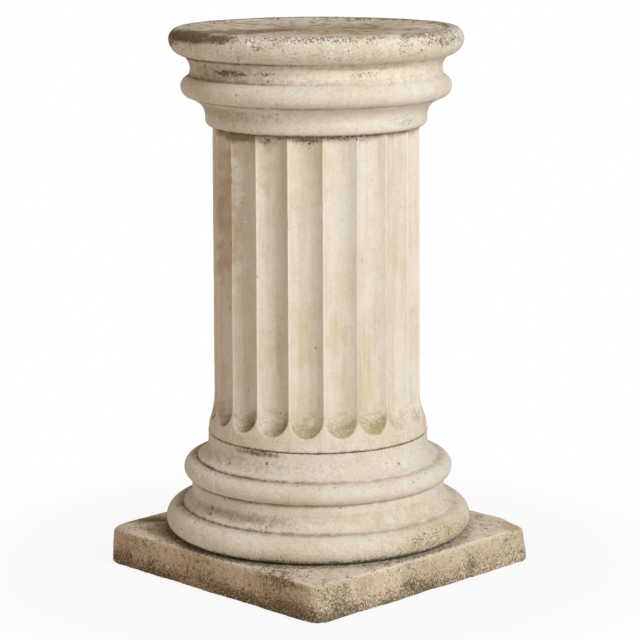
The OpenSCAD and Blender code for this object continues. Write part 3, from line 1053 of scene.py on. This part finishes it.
base = make_turned(base_profile(), seed=200, pit_count=90, chips=BASE_CHIPS)
capital = make_turned(capital_profile(), seed=400, pit_count=130, chips=RIM_CHIPS)
finish_piece("plinth", make_plinth(), plinth_stains, plinth_stone, "base")
finish_piece("base_mouldings", base, base_stains, base_stone, "base")
finish_piece("fluted_shaft", make_shaft(), shaft_stains, shaft_stone, "shaft")
finish_piece("moulded_capital", capital, capital_stains, capital_stone, "capital")


# ------------ studio, in metres

CAMERA_DISTANCE = 3.140
CAMERA_HEIGHT = 0.927
CAMERA_ASIDE = 0.0035
CAMERA_PITCH = math.radians(10.87)
CAMERA_ROLL = math.radians(-0.25)
CAMERA_LENS = 138.65
CAMERA_SENSOR = 36
LIGHT_TARGET = Vector((0, 0, 0.36))
FLOOR_REACH = 30.0
FLOOR_DROP = 0.0003
FLOOR_PAPER = (0.80, 0.76, 0.70, 1)
SKY_WHITE = (1, 1, 1, 1)
SKY_LIGHT = (1.0, 0.80, 0.62, 1)


def add_camera(scene):
    """The camera looks at the plinth's front corner from a little above, with a slight roll."""
    back = Vector((math.cos(FRONT_CORNER), math.sin(FRONT_CORNER), 0))
    right = Vector((-back.y, back.x, 0))
    camera = bpy.data.objects.new("camera", bpy.data.cameras.new("camera"))
    scene.collection.objects.link(camera)
    camera.data.lens = CAMERA_LENS
    camera.data.sensor_width = CAMERA_SENSOR
    camera.location = back * CAMERA_DISTANCE + right * CAMERA_ASIDE + Vector((0, 0, CAMERA_HEIGHT))
    looking = -back * math.cos(CAMERA_PITCH) - Vector((0, 0, math.sin(CAMERA_PITCH)))
    camera.rotation_mode = "QUATERNION"
    camera.rotation_quaternion = looking.to_track_quat("-Z", "Y") @ Quaternion((0, 0, 1), CAMERA_ROLL)
    scene.camera = camera


def area_light(name, at, elevation, distance, size, power, colour):
    """A square soft light at a bearing and elevation, aimed at the column's middle."""
    angle = FRONT_CORNER + math.radians(at)
    lift = math.radians(elevation)
    away = Vector((math.cos(angle) * math.cos(lift), math.sin(angle) * math.cos(lift), math.sin(lift)))
    data = bpy.data.lights.new(name, "AREA")
    data.size = size
    data.energy = power
    data.color = colour
    light = bpy.data.objects.new(name, data)
    light.location = LIGHT_TARGET + away * distance
    light.rotation_mode = "QUATERNION"
    light.rotation_quaternion = (-away).to_track_quat("-Z", "Y")
    bpy.context.scene.collection.objects.link(light)


def add_floor(scene):
    """Paper that holds the column's shadow for the light, and that the camera sees as nearly white."""
    mesh = bpy.data.meshes.new("floor")
    corners = [(-1, -1), (1, -1), (1, 1), (-1, 1)]
    mesh.from_pydata([(x * FLOOR_REACH, y * FLOOR_REACH, 0) for x, y in corners], [], [(0, 1, 2, 3)])
    floor = bpy.data.objects.new("floor", mesh)
    floor.location.z = -FLOOR_DROP
    scene.collection.objects.link(floor)
    material = bpy.data.materials.new("floor_paper")
    material.use_nodes = True
    n = Nodes(material)
    paper = n.add("ShaderNodeBsdfDiffuse")
    paper.inputs["Color"].default_value = FLOOR_PAPER
    far = n.add("ShaderNodeVectorMath", operation="LENGTH")
    n.join(n.add("ShaderNodeTexCoord").outputs["Object"], far.inputs[0])
    white = n.plus(0.90, n.times(n.ramp(far.outputs["Value"], 0.30, 0.6), 0.10))
    seen = n.times(n.add("ShaderNodeLightPath").outputs["Is Camera Ray"], white)
    glow = n.add("ShaderNodeEmission")
    mix = n.add("ShaderNodeMixShader")
    n.join(seen, mix.inputs[0])
    n.join(paper.outputs[0], mix.inputs[1])
    n.join(glow.outputs[0], mix.inputs[2])
    n.join(mix.outputs[0], n.add("ShaderNodeOutputMaterial").inputs["Surface"])
    mesh.materials.append(material)


def add_sky(scene):
    """A soft warm light from all round, and a white background for the camera."""
    world = bpy.data.worlds.new("studio")
    scene.world = world
    world.use_nodes = True
    n = Nodes(world)
    seen = n.add("ShaderNodeBackground")
    seen.inputs["Color"].default_value = SKY_WHITE
    seen.inputs["Strength"].default_value = 1.0
    lit = n.add("ShaderNodeBackground")
    lit.inputs["Color"].default_value = SKY_LIGHT
    lit.inputs["Strength"].default_value = 0.36
    mix = n.add("ShaderNodeMixShader")
    n.join(n.add("ShaderNodeLightPath").outputs["Is Camera Ray"], mix.inputs[0])
    n.join(lit.outputs[0], mix.inputs[1])
    n.join(seen.outputs[0], mix.inputs[2])
    n.join(mix.outputs[0], n.add("ShaderNodeOutputWorld").inputs["Surface"])


scene = bpy.context.scene
add_camera(scene)
area_light("key", at=38, elevation=30, distance=4.0, size=1.7, power=119.0, colour=(1.0, 0.985, 0.97))
area_light("fill", at=-75, elevation=10, distance=3.0, size=2.4, power=13.0, colour=(1.0, 0.83, 0.66))
add_floor(scene)
add_sky(scene)
scene.view_settings.view_transform = "Standard"
